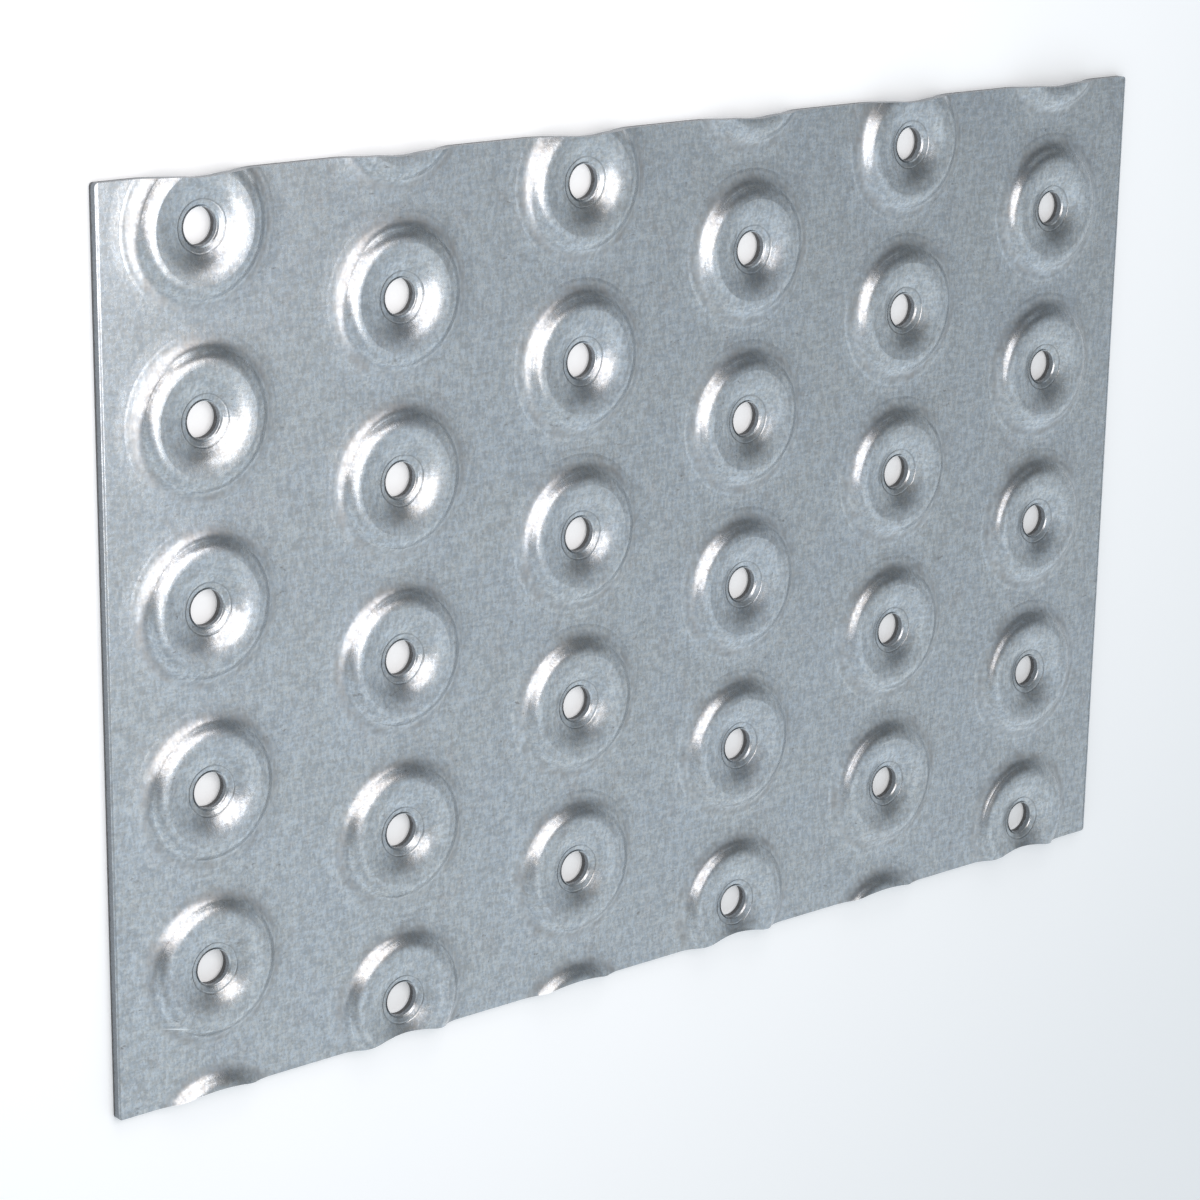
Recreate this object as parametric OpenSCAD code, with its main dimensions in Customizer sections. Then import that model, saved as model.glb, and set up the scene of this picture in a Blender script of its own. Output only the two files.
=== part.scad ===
// Truss nail plate: one piece of galvanised sheet with a staggered grid of
// pressed, raised dimples. Each dimple has a nail hole punched through its
// sunk seat. The two long edges run through the dimples that lie on them, and
// the pressing draws those edges in a little at every column.
// Frame: origin at the centre of the flat back face, +X along the length,
// +Y across the width, +Z towards the raised side. Millimetres.

/* [Sheet] */
// Thickness of the sheet, kept all through the pressing
sheet_thickness = 1.25; // [0.9:0.05:1.4]
// Radius of the plate's four corners, seen from the front
corner_radius = 0.5; // [0.3:0.1:1.5]

/* [Long edges] */
// How far the pressing draws the top edge in at each column
top_draw_in = 0.3; // [0.2:0.1:0.6]
// How far the pressing draws the bottom edge in at each column
bottom_draw_in = 1; // [0.8:0.1:1.3]
// Radius of the curves that a drawn-in edge follows
draw_in_radius = 24; // [20:1:28]

/* [Nail grid] */
// Columns of nail holes along the length
column_count = 6; // [2:1:8]
// Nail holes in each column
row_count = 5; // [2:1:7]
// Distance from one column to the next
column_pitch = 30; // [27:0.5:36]
// Distance from one hole to the next in a column
row_pitch = 24; // [23:0.5:30]
// From the left edge to the first column
left_margin = 14.4; // [13:0.1:17]
// From the top edge to the first hole of the higher columns
top_margin = 6.4; // [5:0.1:6.6]

/* [Nail hole] */
// Diameter of the punched hole
hole_diameter = 4.8; // [4:0.1:5.2]

/* [Dimple] */
// Outer diameter of the dimple, where its foot runs into the flat sheet
dimple_diameter = 22.4; // [22:0.1:22.9]
// Diameter of the dimple along the top of its raised ring
crest_diameter = 14.2; // [13.8:0.1:14.6]
// Height of the raised ring above the front face
ring_height = 1.75; // [1.5:0.05:1.95]
// Drop from the top of the ring to the rim of the nail hole
seat_depth = 1.35; // [0.9:0.05:1.4]
// Radius of the roll from the top of the ring down into the seat
seat_roll_radius = 7; // [5:0.25:7]
// Radius of the shoulder from the top of the ring to the outer wall
shoulder_radius = 2.6; // [2.2:0.1:2.9]

/* [Hidden] */
$fn = 96;
zinc = [0.66, 0.69, 0.72];

// the outline holds a whole number of pitches each way
plate_length = column_count * column_pitch;
plate_width = row_count * row_pitch;
hole_radius = hole_diameter / 2;
foot_start = dimple_diameter / 2;
crest_radius = crest_diameter / 2;
crest_z = sheet_thickness + ring_height;

// two curves of the pressing meet at this small crease, in degrees
crease = 5;

// how far a cutting shape runs past the metal
overrun = 1;

// foot: rounds the outer wall into the flat sheet, to the next 0.01 mm
wall_run = foot_start - crest_radius;
crease_share = shoulder_radius * (1 - cos(crease));
foot_rise = wall_run * wall_run + ring_height * ring_height - 2 * shoulder_radius * ring_height;
foot_radius = ceil(100 * foot_rise / (2 * (ring_height - crease_share))) / 100;
shoulder_centre = [crest_radius, crest_z - shoulder_radius];
foot_centre = [foot_start, sheet_thickness + foot_radius];

// seat: a cone that climbs from the rim of the hole to the roll of the ring
roll_centre = [crest_radius, crest_z - seat_roll_radius];
rim = [hole_radius, crest_z - seat_depth];
rim_to_roll = roll_centre - rim;
cone_offset = seat_roll_radius * cos(crease);
seat_angle = atan2(rim_to_roll[0], -rim_to_roll[1]) - acos(cone_offset / norm(rim_to_roll));

// pressed position [i, j]: column i from the left, row j from the top;
// every second column sits half a pitch lower
function column_x(i) = left_margin - plate_length / 2 + i * column_pitch;
function row_y(i, j) = plate_width / 2 - top_margin - (j + (i % 2) / 2) * row_pitch;
function edge_gap(p) = plate_width / 2 - abs(row_y(p[0], p[1]));

// the dimples go on past both long edges, so a part of a dimple is left there
positions = [for (i = [0 : column_count - 1]) for (j = [-1 : row_count])
    if (edge_gap([i, j]) > -foot_start) [i, j]];

// half section of a dimple from base_z up to its surface;
// depth 0 gives the front surface, depth = sheet_thickness the back one
module half_section(depth, base_z) {
    roll = seat_roll_radius - depth;
    shoulder = shoulder_radius - depth;
    foot = foot_radius + depth;
    cone_end = roll_centre + (cone_offset - depth) * [-sin(seat_angle), cos(seat_angle)];
    cone_start = [0, cone_end[1] - cone_end[0] * tan(seat_angle)];
    centres = foot_centre - shoulder_centre;
    meeting = shoulder_centre + centres / norm(centres) * (shoulder + norm(centres) - foot) / 2;
    height = crest_z - base_z;
    difference() {
        union() {
            polygon([[0, base_z], cone_start, cone_end, [crest_radius, base_z]]);
            intersection() {
                translate([0, base_z])
                    square([crest_radius, height + overrun]);
                translate(roll_centre)
                    circle(r = roll);
            }
            intersection() {
                translate([crest_radius, base_z])
                    square([wall_run, height + overrun]);
                translate(shoulder_centre)
                    circle(r = shoulder);
            }
            translate([crest_radius, base_z])
                square([wall_run, meeting[1] - base_z]);
        }
        translate(foot_centre)
            circle(r = foot);
    }
}

// raised body of one dimple, down to the back face
module dimple_body() {
    rotate_extrude()
        half_section(0, 0);
}

// what the press and the punch leave open: the hollow behind the dimple, and
// the nail hole
module dimple_opening(punched) {
    rotate_extrude() {
        half_section(sheet_thickness, -overrun);
        if (punched)
            translate([0, -overrun])
                square([hole_radius, crest_z + 2 * overrun]);
    }
}

module at_position(p) {
    translate([column_x(p[0]), row_y(p[0], p[1]), 0])
        children();
}

module sheet_blank(height) {
    translate([-plate_length / 2, -plate_width / 2, 0])
        cube([plate_length, plate_width, height]);
}

// what the shear takes off outside the rounding of the four corners
module corner_waste() {
    side = corner_radius + overrun;
    height = sheet_thickness + 2 * overrun;
    for (turn_x = [0, 1], turn_y = [0, 1])
        mirror([turn_x, 0, 0])
            mirror([0, turn_y, 0])
                translate([plate_length / 2 - corner_radius, plate_width / 2 - corner_radius, -overrun])
                    difference() {
                        cube([side, side, height]);
                        cylinder(r = corner_radius, h = height);
                    }
}

// what is missing at one column where the pressing has drawn an edge in by depth;
// the edge lies along y = 0, with the metal below it
module edge_hollow(depth) {
    centre_rise = 2 * draw_in_radius - depth;
    centre_gap = 2 * draw_in_radius * cos(crease / 2);
    half_run = floor(100 * sqrt(centre_gap * centre_gap - centre_rise * centre_rise)) / 100;
    linear_extrude(crest_z + 2 * overrun)
        difference() {
            union() {
                intersection() {
                    translate([-half_run, -depth - overrun])
                        square([2 * half_run, depth + 2 * overrun]);
                    translate([0, draw_in_radius - depth])
                        circle(r = draw_in_radius);
                }
                translate([-half_run, -depth / 2])
                    square([2 * half_run, depth / 2 + overrun]);
            }
            for (end_x = [-half_run, half_run])
                translate([end_x, -draw_in_radius])
                    circle(r = draw_in_radius);
        }
}

// the drawn-in places of both long edges
module edge_hollows() {
    for (i = [0 : column_count - 1])
        translate([column_x(i), 0, -overrun]) {
            translate([0, plate_width / 2, 0])
                edge_hollow(top_draw_in);
            mirror([0, 1, 0])
                translate([0, plate_width / 2, 0])
                    edge_hollow(bottom_draw_in);
        }
}

// the pressed sheet, cut to its outline and punched
module nail_plate() {
    color(zinc)
        difference() {
            union() {
                sheet_blank(sheet_thickness);
                for (p = positions)
                    if (edge_gap(p) > foot_start)
                        at_position(p)
                            dimple_body();
                    else
                        intersection() {
                            at_position(p)
                                dimple_body();
                            sheet_blank(crest_z + overrun);
                        }
            }
            for (p = positions)
                at_position(p)
                    dimple_opening(p[1] >= 0 && p[1] < row_count);
            edge_hollows();
            corner_waste();
        }
}

nail_plate();
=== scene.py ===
import math

import bpy
from mathutils import Matrix, Vector


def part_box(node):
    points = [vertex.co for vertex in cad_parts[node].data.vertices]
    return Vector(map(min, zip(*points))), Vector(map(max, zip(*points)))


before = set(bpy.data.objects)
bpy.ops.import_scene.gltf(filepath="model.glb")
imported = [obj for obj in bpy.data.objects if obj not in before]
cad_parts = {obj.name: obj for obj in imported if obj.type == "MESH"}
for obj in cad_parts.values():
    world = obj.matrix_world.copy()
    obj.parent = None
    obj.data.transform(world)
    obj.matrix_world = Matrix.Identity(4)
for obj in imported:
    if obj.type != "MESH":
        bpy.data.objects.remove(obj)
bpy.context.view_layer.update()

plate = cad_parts["nail_plate"]
low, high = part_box("nail_plate")
# the middle of the flat back face
centre = Vector(((low.x + high.x) / 2, (low.y + high.y) / 2, low.z))

# the material is laid out in millimetres, so its lengths below are too
MM = 1000.0

# the nail grid of part.scad, on the plate's box; every second column sits half a
# pitch lower
COLUMN_COUNT, ROW_COUNT = 6, 5
LEFT_MARGIN, TOP_MARGIN = 14.4, 6.4
PITCH_X = (high.x - low.x) * MM / COLUMN_COUNT
PITCH_Y = (high.y - low.y) * MM / ROW_COUNT
FIRST_X = low.x * MM + LEFT_MARGIN
FIRST_Y = high.y * MM - TOP_MARGIN
HOLE_RADIUS = 2.4
HALF_LENGTH = (high.x - low.x) * MM / 2

# camera, in metres from the middle of the back face
CAMERA_OFFSET = (-0.300940, 0.124185, 0.347082)
CAMERA_FORWARD = (0.617317, -0.274229, -0.737372)
CAMERA_UP = (0.164712, 0.961560, -0.219710)
SENSOR_WIDTH, FOCAL_LENGTH = 36, 102.652
CLIP_START, CLIP_END = 0.01, 20

# softboxes: name, middle in metres from the middle of the back face, turn from
# +X in degrees, length and width in metres, radiance
SOFTBOXES = (
    ("key", (-0.098, 0.082, 0.20), 150, 0.24, 0.18, 2.2),
    ("back", (-0.09, 0.34, 0.20), 0, 0.16, 0.20, 2.2))
LAMP_COLOUR = (1.05, 1.0, 0.99)

# soft lobes of the world light: azimuth and elevation in degrees, strength
LOBES = (
    (0, 12, 0.6), (85, 12, 1.2), (180, 12, 0.9), (225, 12, 0.85), (270, 12, 0.75),
    (315, 12, 0.85), (225, 40, 0.45), (312, 67, 0.93))
# how fast a lobe falls off
SHARPNESS = 8.0
WORLD_COLOUR = (0.905, 1.0, 1.075, 1)

# floor: half its side and its distance below the plate, in metres
FLOOR_HALF = 4
FLOOR_GAP = 0.0001
# its slight glow keeps it white
FLOOR_PAINT = {
    "Base Color": (0.9, 0.9, 0.9, 1), "Roughness": 0.9, "Specular IOR Level": 0.2,
    "Emission Color": (1, 1, 1, 1), "Emission Strength": 0.2}

# noises of the zinc: stretch along X, Y and Z, scale, detail, roughness
NO_STRETCH = (1.0, 1.0, 1.0)
NOISES = {
    "grain": ((1.0, 0.38, 1.0), 1.9, 3.0, 0.65),
    "strokes": ((0.3, 1.0, 1.0), 1.7, 2.0, 0.6),
    "speckle": (NO_STRETCH, 3.2, 3.0, 0.7),
    "tint": (NO_STRETCH, 1.7, 2.0, 0.6),
    "cloud": (NO_STRETCH, 0.09, 3.0, 0.6),
    "patch": ((1.0, 0.6, 1.0), 0.45, 3.0, 0.6),
    "fleck": ((0.55, 1.0, 1.0), 0.95, 4.0, 0.75),
    "lines": ((1.0, 1.0, 0.12), 5.0, 3.0, 0.7),
    "lumps": (NO_STRETCH, 1.3, 3.0, 0.6),
}
# how much each noise adds to the fine tone and to the height
TONE_SHARES = {"grain": 0.40, "strokes": 0.24, "speckle": 0.36}
HEIGHT_SHARES = {"grain": 0.010, "strokes": 0.007, "speckle": 0.007}
# most values of a noise lie between these
NOISE_LOW, NOISE_HIGH = 0.35, 0.65
# noise values where the fine tone, a patch and a fleck start and end
TONE_RANGE, PATCH_RANGE, FLECK_RANGE = (0.38, 0.62), (0.52, 0.75), (0.635, 0.72)
# how strongly clouds, patches and flecks show
CLOUD_SHARE, PATCH_SHARE, FLECK_SHARE = 0.5, 0.5, 0.8

# roughness of plain zinc, and what the fine tone, grime with painted shade and broken metal
# add to it
ROUGHNESS = 0.405
ROUGHNESS_SHARES = {"fine": -0.25, "grime_and_shade": 0.2, "broken": 0.3}

# colours of the zinc; a tint multiplies the colour under it
DARK_ZINC, LIGHT_ZINC = (0.400, 0.412, 0.420, 1), (0.620, 0.638, 0.650, 1)
COOL_TINT, WARM_TINT = (0.975, 1.0, 1.03, 1), (1.03, 1.0, 0.965, 1)
CLOUD_TINT, PATCH_TINT = (0.97, 1.0, 1.05, 1), (0.93, 0.88, 0.86, 1)
FLECK_COLOUR = (0.27, 0.26, 0.255, 1)
# grime and painted shade in the crease at each dimple's foot
GRIME_AND_SHADE_COLOUR = (0.30, 0.28, 0.265, 1)
SCRATCH_COLOUR = (0.9, 0.9, 0.9, 1)
# painted shade in the punch groove round each hole
PUNCH_GROOVE_SHADE = (0.2, 0.2, 0.2, 1)
# dark and light colours of the cut metal
BURNISHED = (0.13, 0.145, 0.16, 1), (0.28, 0.305, 0.33, 1)
BROKEN = (0.08, 0.08, 0.085, 1), (0.22, 0.22, 0.22, 1)

# rings round a hole: middle radius and half width; the first holds grime and painted shade at
# a dimple's foot, the second the punch groove with its painted shade
GRIME_AND_SHADE_RING = (10.0, 1.1)
PUNCH_RING = (3.38, 0.17)
# least and most grime and painted shade in its ring, by patch and by speckle, and the
# speckle's value at the most
PATCH_GRIME_AND_SHADE, SPECKLE_GRIME_AND_SHADE = (0.1, 0.55), (0.3, 1.0)
SPECKLE_FULL = 0.6
# the punch mark's depth, how far its radius wanders and how dark its painted shade is
PUNCH_DEPTH, PUNCH_WANDER, PUNCH_SHADE = 0.03, 0.3, 0.45

# scratch near the lower left corner: middle, turn from +X in degrees, half length
# and half width, how strongly it shows
SCRATCH_MIDDLE = (low.x * MM + 8.4, low.y * MM + 10.7)
SCRATCH_TURN = -7.4
SCRATCH_HALF_LENGTH, SCRATCH_HALF_WIDTH = 2.1, 0.13
SCRATCH_STRENGTH = 1.4

# a face is cut metal where its normal's part along Z is smaller than this
CUT_LIMIT = 0.35
# and front or back where that part is larger than this
SIDE_LIMIT = 0.3
# out to this radius cut metal is the wall of a nail hole
HOLE_WALL = HOLE_RADIUS + 0.3
# height where broken metal turns into burnished metal, and how much higher that
# is in a nail hole
BREAK_HEIGHT, BREAK_RISE_AT_HOLE = 0.38, 0.6
# how far that height wanders, and half the width of the change
BREAK_WANDER, BREAK_SOFTNESS = 0.6, 0.06
# how high the lines on cut metal and the grains of broken metal stand
LINE_HEIGHT, BROKEN_HEIGHT = 0.03, 0.15

# soft run-out of a dimple's foot into the sheet: start radius, end radius and rise
SOFT_FOOT = ((8.6, 10.9, 0.40), (10.3, 11.3, 0.04), (10.4, 12.8, -0.07))
# roll-over at the rim of a hole and along both ends: width and depth
RIM_WIDTH, RIM_DEPTH = 0.35, 0.10
END_WIDTH, END_DEPTH = 0.5, 0.15


def direction(azimuth, elevation):
    """Unit vector; azimuth from +X towards +Y, elevation above the plate, in degrees."""
    turn, rise = math.radians(azimuth), math.radians(elevation)
    level = math.cos(rise)
    return Vector((level * math.cos(turn), level * math.sin(turn), math.sin(rise)))


def add_object(name, data):
    """New object in the scene that shows data."""
    obj = bpy.data.objects.new(name, data)
    bpy.context.scene.collection.objects.link(obj)
    return obj


class Graph:
    """Short hand for building a node tree."""

    def __init__(self, tree):
        self.tree = tree
        tree.nodes.clear()

    def node(self, kind, inputs=None, **settings):
        node = self.tree.nodes.new(kind)
        for name, value in settings.items():
            setattr(node, name, value)
        for name, value in (inputs or {}).items():
            self.feed(node.inputs[name], value)
        return node

    def feed(self, socket, value):
        if isinstance(value, bpy.types.NodeSocket):
            self.tree.links.new(value, socket)
        else:
            socket.default_value = value

    def math(self, operation, a, b=0.0, c=0.0):
        return self.node("ShaderNodeMath", {0: a, 1: b, 2: c}, operation=operation).outputs[0]

    def add(self, a, b):
        return self.math("ADD", a, b)

    def take(self, a, b):
        return self.math("SUBTRACT", a, b)

    def times(self, a, b):
        return self.math("MULTIPLY", a, b)

    def times_add(self, a, b, c):
        return self.math("MULTIPLY_ADD", a, b, c)

    def split(self, vector):
        node = self.node("ShaderNodeSeparateXYZ", {0: vector})
        return node.outputs[0], node.outputs[1], node.outputs[2]

    def stretch(self, vector, scale):
        node = self.node("ShaderNodeVectorMath", {0: vector, 1: scale}, operation="MULTIPLY")
        return node.outputs[0]

    def noise(self, vector, stretch, scale, detail, roughness):
        node = self.node("ShaderNodeTexNoise", {
            "Vector": self.stretch(vector, stretch), "Scale": scale,
            "Detail": detail, "Roughness": roughness})
        return node.outputs["Fac"]

    def total(self, values, shares, level=0.0):
        """Level plus the values named in shares, each times its share."""
        for name, share in shares.items():
            level = self.times_add(values[name], share, level)
        return level

    def ramp(self, value, start, end, low=0.0, high=1.0):
        """Smooth step of value from low at start to high at end."""
        node = self.node("ShaderNodeMapRange", {
            "Value": value, "From Min": start, "From Max": end,
            "To Min": low, "To Max": high}, interpolation_type="SMOOTHSTEP")
        return node.outputs["Result"]

    def band(self, value, middle, half_width):
        """1 at the middle of a band, 0 outside it."""
        away = self.math("ABSOLUTE", self.take(value, middle))
        return self.ramp(away, half_width, 0.0)

    def turned(self, x, y, middle, angle):
        """Coordinates along and beside a line through middle, turned from +X in degrees."""
        cosine, sine = math.cos(math.radians(angle)), math.sin(math.radians(angle))
        x, y = self.take(x, middle[0]), self.take(y, middle[1])
        along = self.times_add(x, cosine, self.times(y, sine))
        beside = self.times_add(y, cosine, self.times(x, -sine))
        return along, beside

    def mix(self, share, a, b, blend="MIX"):
        # this node's sockets for colours are inputs 6 and 7 and output 2
        node = self.node("ShaderNodeMix", data_type="RGBA", blend_type=blend)
        self.feed(node.inputs[0], share)
        self.feed(node.inputs[6], a)
        self.feed(node.inputs[7], b)
        return node.outputs[2]

    def tinted(self, share, colour, tint):
        """Colour, multiplied by tint as far as share says."""
        return self.mix(share, colour, self.mix(1.0, colour, tint, "MULTIPLY"))


def camera():
    forward = Vector(CAMERA_FORWARD).normalized()
    right = forward.cross(Vector(CAMERA_UP)).normalized()
    up = right.cross(forward)
    data = bpy.data.cameras.new("camera")
    data.sensor_width, data.lens = SENSOR_WIDTH, FOCAL_LENGTH
    data.clip_start, data.clip_end = CLIP_START, CLIP_END
    cam = add_object("camera", data)
    turn = Matrix((right, up, -forward)).transposed().to_4x4()
    cam.matrix_world = Matrix.Translation(centre + Vector(CAMERA_OFFSET)) @ turn
    bpy.context.scene.camera = cam


def softbox(name, middle, turn, length, width, radiance):
    """Flat soft light that hangs level over the plate, its length turned from +X."""
    data = bpy.data.lights.new(name, "AREA")
    data.shape = "RECTANGLE"
    data.size, data.size_y = length, width
    data.energy = radiance * math.pi * length * width
    data.color = LAMP_COLOUR
    lamp = add_object(name, data)
    lamp.location = centre + Vector(middle)
    lamp.rotation_euler.z = math.radians(turn)
    lamp.visible_camera = False


def studio():
    """World light: wide soft lobes, most of them low round the plate."""
    world = bpy.data.worlds.new("studio")
    world.use_nodes = True
    bpy.context.scene.world = world
    g = Graph(world.node_tree)
    way = g.node("ShaderNodeTexCoord").outputs["Generated"]
    level = 0.0
    for azimuth, elevation, strength in LOBES:
        towards = direction(azimuth, elevation)
        dot = g.node("ShaderNodeVectorMath", {0: way, 1: towards}, operation="DOT_PRODUCT")
        # exp(SHARPNESS * (cosine - 1)), which is 1 in the middle of the lobe
        fall = g.math("EXPONENT", g.times_add(dot.outputs["Value"], SHARPNESS, -SHARPNESS))
        level = g.times_add(fall, strength, level)
    back = g.node("ShaderNodeBackground", {"Color": WORLD_COLOUR, "Strength": level})
    g.node("ShaderNodeOutputWorld", {"Surface": back.outputs[0]})


def floor():
    """Plain pale floor just under the back face."""
    mesh = bpy.data.meshes.new("floor")
    z = low.z - FLOOR_GAP
    square = (-1, -1), (1, -1), (1, 1), (-1, 1)
    corners = [(x * FLOOR_HALF, y * FLOOR_HALF, z) for x, y in square]
    mesh.from_pydata(corners, [], [(0, 1, 2, 3)])
    obj = add_object("floor", mesh)
    mat = bpy.data.materials.new("floor_paint")
    mat.use_nodes = True
    bsdf = mat.node_tree.nodes["Principled BSDF"]
    for name, value in FLOOR_PAINT.items():
        bsdf.inputs[name].default_value = value
    mesh.materials.append(mat)


def dimple_radius(g, x, y):
    """Distance from the middle of the nearest dimple."""
    across = g.math("DIVIDE", g.take(x, FIRST_X), PITCH_X)
    column = g.math("ROUND", across)
    odd = g.math("MODULO", column, 2.0)
    down = g.times_add(odd, -0.5, g.math("DIVIDE", g.take(FIRST_Y, y), PITCH_Y))
    row = g.math("ROUND", down)
    dx = g.times(g.take(across, column), PITCH_X)
    dy = g.times(g.take(down, row), PITCH_Y)
    return g.math("SQRT", g.times_add(dx, dx, g.times(dy, dy)))


def zinc_colour(g, noises, fine):
    """Light and dark grain, a fine change of tint, clouds, stained patches and dark flecks."""
    colour = g.mix(g.ramp(fine, *TONE_RANGE), DARK_ZINC, LIGHT_ZINC)
    tint = g.mix(g.ramp(noises["tint"], NOISE_LOW, NOISE_HIGH), COOL_TINT, WARM_TINT)
    colour = g.mix(1.0, colour, tint, "MULTIPLY")
    cloud = g.ramp(noises["cloud"], NOISE_LOW, NOISE_HIGH, 0.0, CLOUD_SHARE)
    colour = g.tinted(cloud, colour, CLOUD_TINT)
    patch = g.ramp(noises["patch"], *PATCH_RANGE, 0.0, PATCH_SHARE)
    colour = g.tinted(patch, colour, PATCH_TINT)
    fleck = g.ramp(noises["fleck"], *FLECK_RANGE, 0.0, FLECK_SHARE)
    return g.mix(fleck, colour, FLECK_COLOUR)


def grime_and_shade_share(g, radius, noises):
    """Uneven grime and painted shade in the crease where the foot of a dimple meets the flat
    sheet.
    """
    ring = g.band(radius, *GRIME_AND_SHADE_RING)
    by_patch = g.ramp(noises["patch"], NOISE_LOW, NOISE_HIGH, *PATCH_GRIME_AND_SHADE)
    by_speckle = g.ramp(noises["speckle"], NOISE_LOW, SPECKLE_FULL, *SPECKLE_GRIME_AND_SHADE)
    return g.times(g.times(ring, by_patch), by_speckle)


def scratch_share(g, x, y):
    """One short bright scratch."""
    along, beside = g.turned(x, y, SCRATCH_MIDDLE, SCRATCH_TURN)
    along = g.band(along, 0.0, SCRATCH_HALF_LENGTH)
    beside = g.band(beside, 0.0, SCRATCH_HALF_WIDTH)
    return g.times(g.times(along, beside), SCRATCH_STRENGTH)


def punch_mark(g, radius, noises):
    """Fine uneven ring that the punch leaves round a hole."""
    wander = g.times_add(noises["patch"], PUNCH_WANDER, -PUNCH_WANDER / 2)
    return g.band(g.add(radius, wander), *PUNCH_RING)


def broken_share(g, cut, radius, z, noises):
    """Broken metal next to the back; the rest of a cut face is burnished."""
    at_hole = g.math("LESS_THAN", radius, HOLE_WALL)
    height = g.add(z, g.times_add(noises["lumps"], BREAK_WANDER, -BREAK_WANDER / 2))
    limit = g.times_add(at_hole, BREAK_RISE_AT_HOLE, BREAK_HEIGHT)
    return g.times(cut, g.ramp(g.take(height, limit), BREAK_SOFTNESS, -BREAK_SOFTNESS))


def relief(g, x, radius):
    """Soft forms of the pressing and the shear, seen from the front."""
    height = 0.0
    for start, end, rise in SOFT_FOOT:
        height = g.add(height, g.ramp(radius, start, end, 0.0, rise))
    rim = g.ramp(radius, HOLE_RADIUS + RIM_WIDTH, HOLE_RADIUS, 0.0, -RIM_DEPTH)
    end = g.math("ABSOLUTE", x)
    end = g.ramp(end, HALF_LENGTH - END_WIDTH, HALF_LENGTH, 0.0, -END_DEPTH)
    return g.add(g.add(height, rim), end)


def zinc():
    """Galvanised steel sheet, pressed, punched and sheared."""
    mat = bpy.data.materials.new("galvanised_steel")
    mat.use_nodes = True
    g = Graph(mat.node_tree)
    where = g.node("ShaderNodeTexCoord")
    point = g.stretch(where.outputs["Object"], (MM, MM, MM))
    x, y, z = g.split(point)
    upward = g.split(where.outputs["Normal"])[2]
    cut = g.math("LESS_THAN", g.math("ABSOLUTE", upward), CUT_LIMIT)
    # 1 on the front, -1 on the back, 0 on a cut face
    side = g.ramp(upward, -SIDE_LIMIT, SIDE_LIMIT, -1.0, 1.0)
    radius = dimple_radius(g, x, y)
    noises = {name: g.noise(point, *settings) for name, settings in NOISES.items()}
    fine = g.total(noises, TONE_SHARES)
    grime_and_shade = grime_and_shade_share(g, radius, noises)
    mark = punch_mark(g, radius, noises)
    broken = broken_share(g, cut, radius, z, noises)

    colour = zinc_colour(g, noises, fine)
    # grime and painted shade darken the crease at each dimple's foot
    colour = g.mix(grime_and_shade, colour, GRIME_AND_SHADE_COLOUR)
    colour = g.mix(scratch_share(g, x, y), colour, SCRATCH_COLOUR)
    # painted shade in the punch groove
    colour = g.mix(g.times(mark, PUNCH_SHADE), colour, PUNCH_GROOVE_SHADE)
    colour = g.mix(cut, colour, g.mix(noises["lines"], *BURNISHED))
    colour = g.mix(broken, colour, g.mix(noises["speckle"], *BROKEN))

    layers = {"fine": fine, "grime_and_shade": grime_and_shade, "broken": broken}
    rough = g.total(layers, ROUGHNESS_SHARES, ROUGHNESS)

    height = g.total(noises, HEIGHT_SHARES)
    height = g.times_add(mark, -PUNCH_DEPTH, height)
    height = g.times_add(relief(g, x, radius), side, height)
    height = g.times_add(g.times(cut, noises["lines"]), LINE_HEIGHT, height)
    height = g.times_add(g.times(broken, noises["speckle"]), BROKEN_HEIGHT, height)
    bump = g.node("ShaderNodeBump", {"Strength": 1.0, "Distance": 1 / MM, "Height": height})

    shader = g.node("ShaderNodeBsdfPrincipled", {
        "Base Color": colour, "Metallic": 1.0, "Roughness": rough, "Normal": bump.outputs[0]})
    g.node("ShaderNodeOutputMaterial", {"Surface": shader.outputs[0]})
    return mat


bpy.context.scene.view_settings.view_transform = "Standard"
camera()
studio()
for settings in SOFTBOXES:
    softbox(*settings)
floor()

plate.data.materials.clear()
plate.data.materials.append(zinc())
